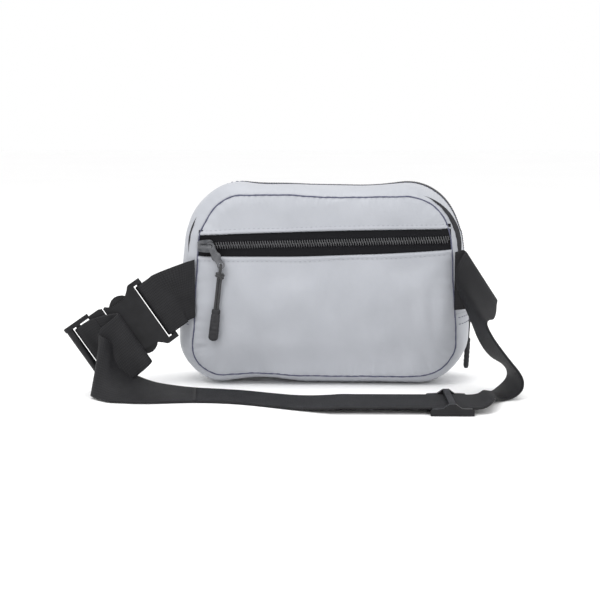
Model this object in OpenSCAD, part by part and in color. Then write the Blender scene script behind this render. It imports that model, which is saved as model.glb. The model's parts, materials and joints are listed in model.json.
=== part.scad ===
// Zipped belt bag with a webbing belt, a side release buckle and a tri-glide.
// Millimetres, +Z up, origin on the floor under the middle of the bag body.
// The zip pocket face looks to -Y, the buckle end of the belt is on the -X side.

/* [Show] */
// sub-part to build, or all of them

/* [Bag body] */
// overall width of the bag body
bag_width = 190; // [175:1:230]
// overall height of the bag body
bag_height = 132; // [120:1:165]
// depth of the bag body from seam to seam
bag_depth = 52; // [46:1:66]
// how far the side walls stand out past the panel seams
gusset_bulge = 7.5; // [5:0.5:9]
// outline radius of the upper corners at the seam
corner_top = 32; // [24:1:40]
// outline radius of the lower corners at the seam
corner_bottom = 26; // [18:1:34]
// cloth thickness with its backing
wall = 1.2; // [0.8:0.1:1.6]
// how far the panels stand out past the seams
panel_rise = 3; // [2:0.5:6]
// height of the stitched joint between upper and lower side walls
join_height = 48; // [44:1:60]

/* [Pocket] */
// distance of the pocket zip below the top of the bag
zip_drop = 37; // [33:1:44]
// width of the opening that shows the pocket zip
zip_band = 15; // [13:1:18]
// slope of the pocket zip in degrees
zip_tilt = 1.5; // [0:0.5:3]
// depth of the pocket behind its panel
pocket_depth = 7; // [6:0.5:10]

/* [Zips] */
// width of one coil
coil_width = 4.2; // [3.5:0.1:5]
// distance of the main zip behind the middle of the side wall
zip_offset = 8; // [4:1:9]
// length of a pull tab from its pivot to its cord hole
tab_length = 14; // [12:1:17]
// diameter of the puller cord
cord_d = 1.8; // [1.6:0.1:2.2]
// length of the rubber grips
grip_length = 21; // [18:1:24]

/* [Belt] */
// width of the webbing
web_width = 38; // [32:1:42]
// thickness of the webbing
web_t = 1.5; // [1.2:0.1:1.8]

/* [Buckle] */
// width of the rails beside the webbing in the buckle
rail = 3; // [2.6:0.1:3.6]
// thickness of the buckle
buckle_t = 8.4; // [8:0.2:9.6]

/* [Hidden] */
$fn = 32;
eps = 0.01;

// ---- bag body, derived sizes
hw = bag_width / 2 - gusset_bulge;
seam_z0 = gusset_bulge;
seam_z1 = bag_height - gusset_bulge;
hd = bag_depth / 2;
bulge_top = gusset_bulge + 0.5;
arc_r = (hd * hd + bulge_top * bulge_top) / (2 * bulge_top);
zip_height = bag_height - zip_drop;
face_y = -hd - panel_rise;
inner_y = face_y + wall;
tape_t = 0.8;
tape_y = inner_y;
fit_gap = 0.3;
silver = [0.42, 0.43, 0.46];
grey = [0.79, 0.80, 0.83];
black = [0.06, 0.06, 0.07];

// height of the side wall over the seam plane at depth v
function rise(v) = min(gusset_bulge, max(0, bulge_top - arc_r + sqrt(max(0, arc_r * arc_r - v * v))));
function lin(a, b, n) = [for (i = [0:n]) a + (b - a) * i / n];

// closed wall profile between two depths, lowered by drop
module wall_profile(v0, v1, drop, t, n = 10) {
  vs = lin(v0, v1, n);
  polygon(concat([for (v = vs) [rise(v) - drop, v]],
    [for (i = [n:-1:0]) [rise(vs[i]) - drop - t, vs[i]]]));
}

module corner(x, z, r, start)
  translate([x, 0, z]) rotate([0, -start, 0]) rotate([90, 0, 0])
    rotate_extrude(angle = 90, $fn = 64) translate([r, 0]) mirror([0, 1]) children();

module upper_arc(z_low) {
  for (m = [0, 1]) mirror([m, 0, 0]) {
    translate([hw, 0, z_low]) linear_extrude(seam_z1 - corner_top - z_low) children();
    corner(hw - corner_top, seam_z1 - corner_top, corner_top, 0) children();
  }
  translate([hw - corner_top, 0, seam_z1]) rotate([0, -90, 0])
    linear_extrude(2 * (hw - corner_top)) children();
}

module lower_arc(z_high) {
  for (m = [0, 1]) mirror([m, 0, 0]) {
    translate([hw, 0, seam_z0 + corner_bottom])
      linear_extrude(z_high - seam_z0 - corner_bottom) children();
    corner(hw - corner_bottom, seam_z0 + corner_bottom, corner_bottom, 270) children();
  }
  translate([corner_bottom - hw, 0, seam_z0]) rotate([0, 90, 0])
    linear_extrude(2 * (hw - corner_bottom)) children();
}

// points of a corner's arc about (x, z), from one angle to another
function bend(x, z, r, a, b, n = 20) =
  [for (i = [0:n]) let(t = a + (b - a) * i / n) [x + r * cos(t), z + r * sin(t)]];
// outline of a panel in its own plane, drawn in by inset
module outline(inset) {
  rt = corner_top - inset;
  rb = corner_bottom - inset;
  xt = hw - corner_top;
  xb = hw - corner_bottom;
  zt = seam_z1 - corner_top;
  zb = seam_z0 + corner_bottom;
  polygon(concat(bend(xt, zt, rt, 0, 90), bend(-xt, zt, rt, 90, 180),
    bend(-xb, zb, rb, 180, 270), bend(xb, zb, rb, 270, 360)));
}

module slab(y, t, inset) translate([0, y + t, 0]) rotate([90, 0, 0]) linear_extrude(t) outline(inset);

piping_w = 2;
piping_in = wall + 0.6;
bevel = 9;
touch = 0.05;
module prism(inset) translate([0, 50, 0]) rotate([90, 0, 0]) linear_extrude(200) outline(inset);
module panel_block(inset, drop)
  hull() {
    slab(-hd + piping_w / 2, 0.4, inset);
    slab(face_y + drop, 0.4, inset + bevel);
  }
module panel_shell() intersection() {
  difference() {
    panel_block(0, 0);
    panel_block(wall, wall);
  }
  prism(piping_in + touch);
}

// band of the pocket zip as a tilted block between two depths
module band(h, y0, y1) translate([0, 0, zip_height]) rotate([0, -zip_tilt, 0])
  translate([-bag_width, y0, -h / 2]) cube([2 * bag_width, y1 - y0, h]);
module below_band() translate([0, 0, zip_height]) rotate([0, -zip_tilt, 0])
  translate([-bag_width, -100, -bag_height * 2 - zip_band / 2])
    cube([2 * bag_width, 200, bag_height * 2]);

module bag_panel_upper() color(grey) difference() {
  panel_shell();
  below_band();
  band(zip_band + eps, -100, 100);
}
module bag_panel_lower() color(grey) intersection() {
  panel_shell();
  below_band();
}
lining_t = 0.8;
lining_y = inner_y + pocket_depth;
module pocket_lining() color(black)
  slab(lining_y, lining_t, touch + wall - rise(lining_y));
module far_panel() color(grey) mirror([0, 1, 0]) panel_shell();

tape_vis = 5.2;
band_v0 = zip_offset - tape_vis;
band_v1 = zip_offset + tape_vis;
edge_v = hd - piping_w / 2;
module near_gusset() color(grey) upper_arc(join_height) wall_profile(-edge_v, band_v0, 0, wall);
module far_gusset() color(grey) upper_arc(join_height) wall_profile(band_v1, edge_v, 0, wall);
module lower_gusset() color(grey) lower_arc(join_height) wall_profile(-edge_v, edge_v, 0, wall, 20);

module piping_ring(s) {
  upper_arc(join_height) piping_profile(s);
  lower_arc(join_height) piping_profile(s);
}
module piping_profile(s) translate([-piping_in, s * hd - piping_w / 2]) square([piping_in, piping_w]);
module near_piping() color(grey) piping_ring(-1);
module far_piping() color(grey) piping_ring(1);

// ---- pocket zip: tapes behind the panel edges, coil proud of them
tape_lap = 3;
tape_x = hw - piping_in - 2 * touch;
module tape_strip(s, h) translate([0, 0, zip_height]) rotate([0, -zip_tilt, 0])
  translate([-2 * hw, tape_y, s > 0 ? coil_width / 2 : -h])
    cube([4 * hw, tape_t, h - coil_width / 2]);
module tape_half(s) {
  intersection() {
    tape_strip(s, zip_band / 2 + tape_lap);
    prism(bevel + wall + touch);
  }
  intersection() {
    tape_strip(s, zip_band / 2 - touch);
    translate([-tape_x, -100, 0]) cube([2 * tape_x, 200, bag_height]);
  }
}
module pocket_tape_upper() color(black) tape_half(1);
module pocket_tape_lower() color(black) tape_half(-1);
coil_rise = 1.4;
coil_t = 2.2;
module pocket_coil() color(black) translate([0, 0, zip_height]) rotate([0, -zip_tilt, 0])
  translate([-tape_x, tape_y - coil_rise, -coil_width / 2]) cube([2 * tape_x, coil_t, coil_width]);

// ---- zip sliders in their own frame: x along the zip, z out of the tape
slider_l = 10.5;
slider_w = coil_width + 4.2;
plate_z = coil_rise + 0.4;
plate_t = 1.2;
foot_r = 1;
foot_x = 3.2;
tab_z0 = plate_z + plate_t + 1.2;
tab_t = 1.2;
tab_mid = tab_z0 + tab_t / 2;
bar_z = tab_z0 + tab_t + 0.8;
bar_t = 1.2;
eye_r = 1.7;
module slider_plan() polygon([[-slider_l / 2, -0.34 * slider_w], [1 - slider_l / 2, -0.43 * slider_w],
  [0.4, -slider_w / 2], [slider_l / 2 - 2.4, -slider_w / 2], [slider_l / 2 - 0.6, -0.38 * slider_w],
  [slider_l / 2, -0.24 * slider_w], [slider_l / 2, 0.24 * slider_w], [slider_l / 2 - 0.6, 0.38 * slider_w],
  [slider_l / 2 - 2.4, slider_w / 2], [0.4, slider_w / 2], [1 - slider_l / 2, 0.43 * slider_w],
  [-slider_l / 2, 0.34 * slider_w]]);
module slider_part() difference() {
  translate([0, 0, fit_gap]) linear_extrude(plate_z + plate_t - fit_gap) slider_plan();
  translate([-slider_l, -slider_w / 2 + plate_t, 0]) cube([2 * slider_l, slider_w - 2 * plate_t, plate_z]);
}
module bail_part() {
  for (s = [-1, 1]) translate([s * foot_x, 0, plate_z + plate_t])
    cylinder(bar_z - plate_z - plate_t, r = foot_r);
  translate([-foot_x, -foot_r, bar_z]) cube([2 * foot_x, 2 * foot_r, bar_t]);
  for (s = [-1, 1]) translate([s * foot_x, 0, bar_z]) cylinder(bar_t, r = foot_r);
}
// pull tab that swings about the bail foot at the frame's origin, along +x
module tab_part() translate([0, 0, tab_z0]) linear_extrude(tab_t) difference() {
  union() {
    circle(2.7);
    translate([0, -2.2]) square([tab_length, 4.4]);
    translate([tab_length, 0]) circle(2.6);
    translate([tab_length * 0.55, 0]) circle(3.1);
  }
  circle(foot_r + 0.3);
  translate([tab_length, 0]) circle(eye_r);
}
// puller from the eye at the origin: ring, two strands, knot and grip, along +x
ring_r = cord_d / 2 - 0.1;
ring_R = 2.15;
knot_x = 2 * ring_R + ring_r - 0.5;
knot_l = 4.2;
knot_r = 3;
cord_x = knot_x + knot_l;
module cord_part(len) {
  translate([ring_R, 0, tab_mid]) rotate([90, 0, 0]) rotate_extrude($fn = 48)
    translate([ring_R, 0]) circle(ring_r, $fn = 24);
  for (s = [-1, 1]) translate([cord_x, s * cord_d * 0.49, tab_mid])
    rotate([0, 90, 0]) cylinder(len, r = cord_d / 2);
}
module knot_part() translate([knot_x, 0, tab_mid]) rotate([0, 90, 0])
  rotate_extrude($fn = 48) polygon([[0, 0], [2, 0], [knot_r, 0.38 * knot_l], [knot_r, 0.72 * knot_l],
    [2.3, knot_l], [0, knot_l]]);
grip_w = 6.4;
grip_t = 3.6;
grip_side = [[0, grip_w / 2 - 0.9], [0.5, grip_w / 2 - 0.3], [grip_length - 3.2, grip_w / 2],
  [grip_length - 1.6, grip_w / 2 - 0.4], [grip_length - 0.5, grip_w / 2 - 1.3],
  [grip_length, grip_w / 2 - 2.3]];
module grip_part(len) translate([cord_x + len, 0, tab_mid - grip_t / 2]) linear_extrude(grip_t)
  polygon(concat(grip_side, [for (i = [len(grip_side) - 1:-1:0]) [grip_side[i][0], -grip_side[i][1]]]));

// pocket slider: parked near the left end
slider_park = 10.5;
slider_x = slider_park - hw;
pocket_tab_a = -63;
pocket_pull_a = -98;
pocket_cord_len = 20.2;
module on_pocket() translate([0, tape_y, zip_height]) rotate([0, -zip_tilt, 0])
  translate([slider_x, 0, 0]) rotate([90, 0, 0]) children();
module at_pocket_tab() on_pocket() translate([foot_x, 0, 0]) children();
module at_pocket_eye() at_pocket_tab() rotate([0, 0, pocket_tab_a]) translate([tab_length, 0, 0])
  rotate([0, 0, pocket_pull_a - pocket_tab_a]) children();
module pocket_slider() color(silver) on_pocket() slider_part();
module pocket_bail() color(silver) on_pocket() bail_part();
module pocket_tab() color(silver) at_pocket_tab() rotate([0, 0, pocket_tab_a]) tab_part();
module pocket_cord() color(black) at_pocket_eye() cord_part(pocket_cord_len);
module pocket_knot() color(black) at_pocket_eye() knot_solid();
module knot_solid() difference() {
  knot_part();
  translate([ring_R, 0, tab_mid]) rotate([90, 0, 0]) rotate_extrude($fn = 48)
    translate([ring_R, 0]) circle(ring_r + touch, $fn = 24);
}
module pocket_grip() color(black) at_pocket_eye() grip_part(pocket_cord_len);

// ---- main zip, round the top of the side wall
main_u = rise(zip_offset) - 0.8;
module flat_strip(v0, v1, u0, u1) translate([u0, v0]) square([u1 - u0, v1 - v0]);
module main_tape_near() color(black) upper_arc(join_height)
  flat_strip(band_v0 + fit_gap, zip_offset - coil_width / 2, main_u - tape_t, main_u);
module main_tape_far() color(black) upper_arc(join_height)
  flat_strip(zip_offset + coil_width / 2, band_v1 - fit_gap, main_u - tape_t, main_u);
module main_coil() color(black) upper_arc(join_height)
  flat_strip(zip_offset - coil_width / 2, zip_offset + coil_width / 2,
    main_u + coil_rise - coil_t, main_u + coil_rise);

main_slider_z = 64;
main_cord_len = 11.2;
module on_main() translate([hw + main_u, zip_offset, main_slider_z]) rotate([0, 90, 0]) children();
module at_main_tab() on_main() translate([foot_x, 0, 0]) children();
// the main puller leans in towards the side wall by this many degrees
main_lean = 3;
module at_main_eye() at_main_tab() translate([tab_length, 0, tab_mid]) rotate([0, main_lean, 0])
  translate([0, 0, -tab_mid]) children();
module main_slider() color(silver) on_main() slider_part();
module main_bail() color(silver) on_main() bail_part();
module main_tab() color(silver) at_main_tab() tab_part();
module main_cord() color(black) at_main_eye() cord_part(main_cord_len);
module main_knot() color(black) at_main_eye() knot_solid();
module main_grip() color(black) at_main_eye() grip_part(main_cord_len);

// ---- buckle in its own frame: x from the socket bar to the plug, y across, z to the front
// the belt's stations are written for this seam, face and webbing, and move with the real ones
route_hw = 87.5;
route_face = -29;
route_web = 38;
side_grow = hw - route_hw;
face_grow = route_face - face_y;
function carried(p) = [p[0] + side_grow * max(-1, min(1, p[0] / 76)), p[1] - face_grow, p[2]];
buckle_at = carried([-109.5, -31, 52.3]);
buckle_yaw = 195.5;
buckle_pitch = 33.5;
buckle_roll = -81;
module on_buckle() translate(buckle_at) rotate([0, 0, buckle_yaw]) rotate([0, buckle_pitch, 0])
  rotate([buckle_roll, 0, 0]) children();
function rx(p, a) = [p[0], p[1] * cos(a) - p[2] * sin(a), p[1] * sin(a) + p[2] * cos(a)];
function ry(p, a) = [p[0] * cos(a) + p[2] * sin(a), p[1], p[2] * cos(a) - p[0] * sin(a)];
function rz(p, a) = [p[0] * cos(a) - p[1] * sin(a), p[0] * sin(a) + p[1] * cos(a), p[2]];
function placed(p) = buckle_at + rz(ry(rx(p, buckle_roll), buckle_pitch), buckle_yaw);

web_play = 1;
bw = web_width / 2 + web_play + rail;
bar_r = 1.8;
inner_bar_r = 1.6;
outer_bar_r = 2.4;
slot_end = 4.2;
socket_end = 28.5;
plug_start = socket_end + 0.5;
shoulder_end = 39.5;
inner_bar_x = 47.6;
outer_bar_x = 53.8;
waist = bw - 5.5;
skin = 1.4;
cav_t = buckle_t - 2 * skin;
cav_w = bw - 7.2;
window_x0 = 11;
window_x1 = 25.5;
chamfer = 3;
side_run = [[slot_end, bw], [slot_end + 2, bw], [slot_end + 3.4, bw - 0.6], [slot_end + 4.6, bw - 2],
  [window_x0 + 1, waist + 0.7], [window_x0 + 3, waist], [window_x1 - 4, waist - 0.3], [window_x1 - 2, waist],
  [window_x1 - 0.6, waist + 0.8], [socket_end - 1.6, bw - chamfer], [socket_end, bw - chamfer - 0.6]];
module socket() color(black) on_buckle() difference() {
  union() {
    rotate([90, 0, 0]) translate([0, 0, -bw]) cylinder(2 * bw, r = bar_r);
    for (m = [0, 1]) mirror([0, m, 0]) translate([0, 0, -cav_t / 2]) linear_extrude(cav_t)
      polygon([[slot_end + 1, bw - rail], [-bar_r, bw - rail], [-bar_r, bw - 1.8], [-0.6, bw - 0.5],
        [1.2, bw], [slot_end + 1, bw]]);
    translate([0, 0, -buckle_t / 2]) linear_extrude(buckle_t)
      polygon(concat(side_run, [for (i = [len(side_run) - 1:-1:0]) [side_run[i][0], -side_run[i][1]]]));
  }
  translate([slot_end + chamfer - 0.5, -cav_w, -cav_t / 2]) cube([socket_end, 2 * cav_w, cav_t]);
  translate([window_x0, -bw - 5, -cav_t / 2]) cube([window_x1 - window_x0, 2 * bw + 10, cav_t]);
}

tongue_w = 3;
prong_t = cav_t - 2 * fit_gap;
hinge_y = bw - 14;
prong_root = plug_start - fit_gap;
rail_t = buckle_t - 2.4;
module plug() color(black) on_buckle() {
  translate([0, 0, -buckle_t / 2]) linear_extrude(buckle_t)
    polygon([[plug_start, -bw + chamfer], [plug_start + 2, -bw + 2], [shoulder_end, -bw + 2],
      [shoulder_end, bw - 2], [plug_start + 2, bw - 2], [plug_start, bw - chamfer]]);
  translate([slot_end + 4, -tongue_w, -prong_t / 2]) cube([plug_start - slot_end - 3, 2 * tongue_w, prong_t]);
  for (s = [-1, 1]) translate([shoulder_end - 1, s * (bw - rail / 2) - rail / 2, -rail_t / 2])
    cube([outer_bar_x - shoulder_end + 1, rail, rail_t]);
  for (b = [[inner_bar_x, inner_bar_r], [outer_bar_x, outer_bar_r]]) translate([b[0], 0, 0])
    rotate([90, 0, 0]) translate([0, 0, -bw + rail - eps]) cylinder(2 * (bw - rail) + 2 * eps, r = b[1]);
  for (s = [-1, 1]) translate([outer_bar_x, s * (bw - rail / 2) + rail / 2, 0]) rotate([90, 0, 0])
    cylinder(rail, r = rail_t / 2);
}
// each prong flexes about its round root beside the plug, and its head fills the socket's window
arm_w = 3.6;
head_out = 4;
head_gap = 0.5;
root_x = prong_root - arm_w / 2;
module prong_plan() {
  translate([root_x, -hinge_y - arm_w / 2]) circle(arm_w / 2);
  polygon([[root_x, -hinge_y - arm_w + touch], [root_x, -hinge_y - touch],
    [window_x0 + 3, -hinge_y - 1.4], [window_x0 + head_gap, 1.2 - cav_w],
    [window_x0 + head_gap, -waist - 0.4], [window_x0 + 2.2, -waist - head_out + 1.8],
    [window_x0 + 4.6, -waist - head_out + 0.5], [window_x0 + 7.2, -waist - head_out],
    [window_x0 + 9.8, -waist - head_out + 0.5], [window_x0 + 12, -waist - head_out + 1.8],
    [window_x1 - head_gap, -waist - 0.4], [window_x1 - head_gap, 0.4 - cav_w],
    [window_x1 - 2, -hinge_y - arm_w - 0.2]]);
}
module prong(s) on_buckle() mirror([0, s, 0]) translate([0, 0, -prong_t / 2]) linear_extrude(prong_t)
  prong_plan();
module prong_upper() color(black) prong(0);
module prong_lower() color(black) prong(1);

// ---- webbing: stations are pairs of edge points, smoothed between them
function cr(p, i, t) = let(n = len(p) - 1,
    a = p[max(0, i - 1)], b = p[i], c = p[min(n, i + 1)], d = p[min(n, i + 2)])
  0.5 * ((2 * b) + (c - a) * t + (2 * a - 5 * b + 4 * c - d) * t * t + (3 * b - a - 3 * c + d) * t * t * t);
function smooth(p, k) =
  concat([for (i = [0:len(p) - 2]) for (j = [0:k - 1]) cr(p, i, j / k)], [p[len(p) - 1]]);
function unit(v) = v / norm(v);
function edge(row, j) = [row[3 * j], row[3 * j + 1], row[3 * j + 2]];
// keep the station's centre and direction, but give it the webbing's width and keep it off the floor
function fixed_width(a, b) = let(u = unit(b - a), w = u * web_width / 2,
  c = (a + b) / 2 + [0, 0, abs(u[2]) * (web_width - route_web) / 2]) concat(c - w, c + w);
function stations(rows) = [for (r = rows) fixed_width(carried(edge(r, 0)), carried(edge(r, 1)))];
function across(p) = let(w = [0, web_width / 2, 0]) concat(placed(p + w), placed(p - w));

// the webbing between the points i0 and i1 of a smoothed route
module ribbon(route, i0, i1) {
  m = len(route) - 1;
  n = i1 - i0;
  mid = [for (r = route) edge(r, 0) + edge(r, 1)];
  a = [for (i = [i0:i1]) edge(route[i], 0)];
  b = [for (i = [i0:i1]) edge(route[i], 1)];
  up = [for (i = [0:n]) let(j = min(i0 + i + 1, m), h = max(i0 + i - 1, 0))
    unit(cross(mid[j] - mid[h], b[i] - a[i])) * web_t / 2];
  pts = [for (i = [0:n]) each [a[i] - up[i], b[i] - up[i], b[i] + up[i], a[i] + up[i]]];
  side = [for (i = [0:n - 1]) for (q = [0:3]) let(r = (q + 1) % 4, u = 4 * i, w = 4 * i + 4)
    each [[u + q, u + r, w + r], [u + q, w + r, w + q]]];
  polyhedron(pts, concat([[0, 3, 2], [0, 2, 1]], side,
    [[4 * n, 4 * n + 1, 4 * n + 2], [4 * n, 4 * n + 2, 4 * n + 3]]));
}

wrap = bar_r + fit_gap + web_t / 2;
wq = wrap * 0.71;
ply = web_t / 2 + 0.45;
// where the webbing's face lies against the seam edge, in the route's own depth
seam_y = -hd - piping_w / 2 - web_t / 2 - touch + face_grow;
short_rows = concat(stations([
    [-84.5, seam_y, 46, -84.5, seam_y, 84],
    [-90, -28.8, 43.5, -93, -28.6, 81.5]]),
  [across([-12, 0, ply]), across([-6, 0, ply + 1]), across([-2, 0, wrap]), across([0, 0, wrap]),
    across([wq, 0, wq]), across([wrap, 0, 0]), across([wq, 0, -wq]), across([0, 0, -wrap]),
    across([-5, 0, -ply - 1.4]), across([-11, 0, -ply])]);
short_route = smooth(short_rows, 3);
module short_strap() color(black) ribbon(short_route, 0, len(short_route) - 1);

wrap_in = inner_bar_r + fit_gap + web_t / 2;
wi = wrap_in * 0.71;
deck = (buckle_t + web_t) / 2;
function ib(x, z) = across([inner_bar_x + x, 0, z]);
function over(x, y, z) = across([x, y, deck + z]);
bight_rows = [ib(-5, -3), ib(-2.5, -wrap_in), ib(0, -wrap_in), ib(wi, -wi), ib(wrap_in, 0), ib(wi, wi),
  ib(0, wrap_in), over(43.5, 0, -1.6), over(40, 0, 1), over(36, 1, 2.6)];
bend_rows = concat([over(30, 3, 4), over(25.5, 5, 5), over(23, 6.5, 7), over(23, 7, 9.4),
    over(25.5, 7.5, 11.4), over(30, 8, 12)],
  stations([[-121, -55, 11, -142, -55, 43],
    [-131, -57.5, 4, -143, -56, 40],
    [-139.5, -60, 2, -143.5, -57, 39.5],
    [-145, -62.5, 1.5, -142, -58.5, 39],
    [-147, -66, 1.2, -140.5, -61, 38.5],
    [-145, -70, 1.2, -138.5, -62, 38],
    [-140, -75, 1.6, -135.5, -57, 33.4],
    [-134, -79.9, 1.3, -133.5, -51.6, 25.4],
    [-125.9, -81.6, 1.1, -127.6, -47.9, 17.7],
    [-116.4, -83.4, 1.3, -122.1, -47.7, 11.7],
    [-104.5, -82.9, 1.1, -110.5, -45.9, 6.5],
    [-92, -80.6, 1, -97, -43.4, 3.4],
    [-80, -79.6, 0.9, -83, -41.8, 1.6]]));
tri_l = 26;
tri_rail = 3.4;
tri_w = web_width + 2 * (tri_rail + 0.6);
tri_bar = 4;
tri_t = 2.4;
tri_floor = 0.3;
tri_gap = 0.45;
tri_x = 76;
tri_y = -90;
tri_z = tri_floor + tri_t + web_t / 2 + tri_gap;
travel_end = 10;
function level(x, z) = [x, tri_y - 1, z, x, tri_y + 1, z];
run_rows = stations([
    [-66, -80.5, 0.9, -68, -42.6, 1],
    [-50, -84.5, 0.9, -52, -46.5, 0.9],
    [-34, -91.5, 0.9, -36, -53.5, 0.9],
    [-18, -99.5, 1.2, -19, -61.5, 1.2],
    [-6, -105, 2.2, -6.5, -67, 2.2],
    level(travel_end - 6, 3.5), level(travel_end, tri_z), level(travel_end + 12, tri_z),
    level(50, tri_z), level(80, tri_z), level(91, tri_z),
    [96, -108, 4.6, 96, -70, 4.6],
    [100, -104, 6.2, 99.5, -66, 5.6],
    [102.5, -98, 7.4, 103, -60.5, 4.2],
    [104, -90, 7, 105.5, -53, 2.4],
    [105.5, -82, 5, 108, -45.5, 1.2],
    [109, -74.5, 2.6, 111, -38.5, 1.2],
    [114, -69, 1.3, 114.5, -34, 2.4],
    [119.5, -68, 2.8, 118, -31.5, 5.4],
    [123.5, -69, 7, 119.5, -31, 9.4],
    [124, -70.5, 12.5, 118.5, -31, 13.8],
    [121.5, -71.5, 18, 115, -31.3, 17.6],
    [116.5, -72, 24.5, 108.5, -32, 21.5],
    [110.5, -71.5, 32, 103.5, -32.5, 27],
    [104.5, -70, 40, 99.5, -33, 34.5],
    [100.5, -67, 47, 96, -34, 44],
    [100, -61.5, 51, 92, -36, 55],
    [102.5, -54, 53.5, 88.5, -38, 66],
    [106, -46, 56, 88, -38, 76],
    [108.5, -40, 58.5, 89.5, -36.5, 84],
    [109.5, -36.5, 60, 91.5, -34.5, 87],
    [109.3, -33.8, 60.5, 92, -32.4, 87.5],
    [106, -32, 60, 91, -31, 88],
    [99, -30.5, 56.5, 89, -30, 88.5],
    [91, -29.2, 52.6, 86, -29, 89.1],
    [84.5, seam_y, 51.2, 84.5, seam_y, 89.2]]);
belt_route = smooth(concat(bight_rows, bend_rows, run_rows), 3);
bight_end = 3 * (len(bight_rows) - 1);
bend_end = bight_end + 3 * len(bend_rows);
module strap_bight() color(black) ribbon(belt_route, 0, bight_end);
module strap_bend() color(black) ribbon(belt_route, bight_end, bend_end);
module strap_run() color(black) ribbon(belt_route, bend_end, len(belt_route) - 1);

// ---- tri-glide: the webbing lies over its outer bars and under its middle bar
tri_bar_t = 2.2;
tri_under = tri_z + web_t / 2 + 0.35;
tri_top = tri_under + tri_bar_t;
tri_half = tri_l / 2;
tri_side_h = 4.3;
module tri_side() translate([0, tri_rail / 2, 0]) rotate([90, 0, 0]) linear_extrude(tri_rail)
  polygon([[0.9 - tri_half, tri_floor], [tri_half - 0.9, tri_floor], [tri_half, tri_floor + 0.9],
    [tri_half, tri_side_h - 1.1], [tri_half - 1.2, tri_side_h], [1.4 * tri_bar, tri_side_h + 0.3],
    [0.8 * tri_bar, tri_top - 0.9], [tri_bar / 2, tri_top], [-tri_bar / 2, tri_top],
    [-0.8 * tri_bar, tri_top - 0.9], [-1.4 * tri_bar, tri_side_h + 0.3], [1.2 - tri_half, tri_side_h],
    [-tri_half, tri_side_h - 1.1], [-tri_half, tri_floor + 0.9]]);
module triglide() color(black) translate(carried([tri_x, tri_y, 0])) {
  for (s = [-1, 1]) {
    translate([s * (tri_l - tri_bar) / 2 - tri_bar / 2, -tri_w / 2, tri_floor]) cube([tri_bar, tri_w, tri_t]);
    translate([0, s * (tri_w - tri_rail) / 2, 0]) tri_side();
  }
  translate([-tri_bar / 2, -tri_w / 2, tri_under]) cube([tri_bar, tri_w, tri_bar_t]);
}

bag_panel_upper();
bag_panel_lower();
pocket_lining();
far_panel();
near_gusset();
far_gusset();
lower_gusset();
near_piping();
far_piping();
pocket_tape_upper();
pocket_tape_lower();
pocket_coil();
pocket_slider();
pocket_bail();
pocket_tab();
pocket_cord();
pocket_knot();
pocket_grip();
main_tape_near();
main_tape_far();
main_coil();
main_slider();
main_bail();
main_tab();
main_cord();
main_knot();
main_grip();
short_strap();
socket();
plug();
prong_upper();
prong_lower();
strap_bight();
strap_bend();
strap_run();
triglide();
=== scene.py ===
import json
import math

import bpy
import numpy as np
from mathutils import Matrix, Vector
from mathutils.geometry import delaunay_2d_cdt


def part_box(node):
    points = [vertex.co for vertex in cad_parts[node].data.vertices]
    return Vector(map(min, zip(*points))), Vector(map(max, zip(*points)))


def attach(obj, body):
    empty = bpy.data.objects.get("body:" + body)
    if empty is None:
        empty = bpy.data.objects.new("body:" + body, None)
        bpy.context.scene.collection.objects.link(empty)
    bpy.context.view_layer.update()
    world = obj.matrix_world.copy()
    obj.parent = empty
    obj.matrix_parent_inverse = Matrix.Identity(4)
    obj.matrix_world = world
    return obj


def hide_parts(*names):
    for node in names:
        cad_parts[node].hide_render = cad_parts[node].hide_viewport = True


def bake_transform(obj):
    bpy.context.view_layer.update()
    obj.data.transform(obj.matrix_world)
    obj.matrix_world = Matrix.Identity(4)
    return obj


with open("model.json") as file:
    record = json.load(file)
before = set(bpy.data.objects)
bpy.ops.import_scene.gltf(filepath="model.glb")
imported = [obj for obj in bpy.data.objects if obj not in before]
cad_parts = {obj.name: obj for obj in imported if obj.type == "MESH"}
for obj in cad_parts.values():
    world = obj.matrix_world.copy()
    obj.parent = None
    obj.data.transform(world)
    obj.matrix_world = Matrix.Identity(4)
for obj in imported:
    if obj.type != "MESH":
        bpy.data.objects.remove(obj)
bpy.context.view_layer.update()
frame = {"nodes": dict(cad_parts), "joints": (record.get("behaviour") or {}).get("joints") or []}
MM = 0.001
nodes = frame["nodes"]


def lo_hi(node):
    lo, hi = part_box(node)
    return np.array(lo) / MM, np.array(hi) / MM


# ---------------------------------------------------------------- camera, light, floor
def camera():
    body_lo, body_hi = lo_hi("near_piping")
    target = Vector(((body_lo[0] + body_hi[0]) / 2 - 16, body_lo[1] - 1, (body_lo[2] + body_hi[2]) / 2 - 8.4)) * MM
    az, el, far = math.radians(1.0), math.radians(8.0), 0.85
    back = Vector((math.sin(az) * math.cos(el), -math.cos(az) * math.cos(el), math.sin(el)))
    data = bpy.data.cameras.new("camera")
    data.sensor_width = 36
    data.lens = 36 * far / (600 * 0.652 * MM)
    data.dof.use_dof = False
    cam = bpy.data.objects.new("camera", data)
    bpy.context.scene.collection.objects.link(cam)
    cam.location = target + back * far
    cam.rotation_mode = "QUATERNION"
    cam.rotation_quaternion = (-back).to_track_quat("-Z", "Y")
    bpy.context.scene.camera = cam


camera()


def area_light(name, at, look, size, power):
    data = bpy.data.lights.new(name, "AREA")
    data.shape = "RECTANGLE"
    data.size, data.size_y = size
    data.energy = power
    light = bpy.data.objects.new(name, data)
    bpy.context.scene.collection.objects.link(light)
    light.location = at
    light.rotation_mode = "QUATERNION"
    light.rotation_quaternion = (Vector(look) - Vector(at)).to_track_quat("-Z", "Y")


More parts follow.
